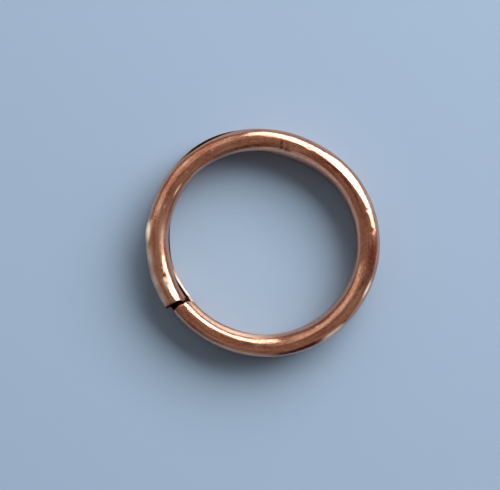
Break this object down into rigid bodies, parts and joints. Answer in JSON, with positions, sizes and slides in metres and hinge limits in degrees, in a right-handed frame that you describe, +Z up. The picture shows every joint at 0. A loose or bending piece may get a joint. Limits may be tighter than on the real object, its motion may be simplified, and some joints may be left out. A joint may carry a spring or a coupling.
{
  "type": "split ring",
  "caption": "Small split ring of round copper wire: two flat turns lie one on top of the other and meet at a sudden step beside a cut end.",
  "frame": {"origin": "centre of the ring's outline, on the surface it lies on", "axes": "+Z up along the ring's axis, +Y towards the top of the picture, +X towards its right"},
  "size_m": [0.0081, 0.008, 0.0016],
  "materials": {
    "copper": "bright drawn copper, lightly tarnished and scuffed"
  },
  "bodies": {
    "root": {"split_ring": "copper"}
  },
  "joints": []
}
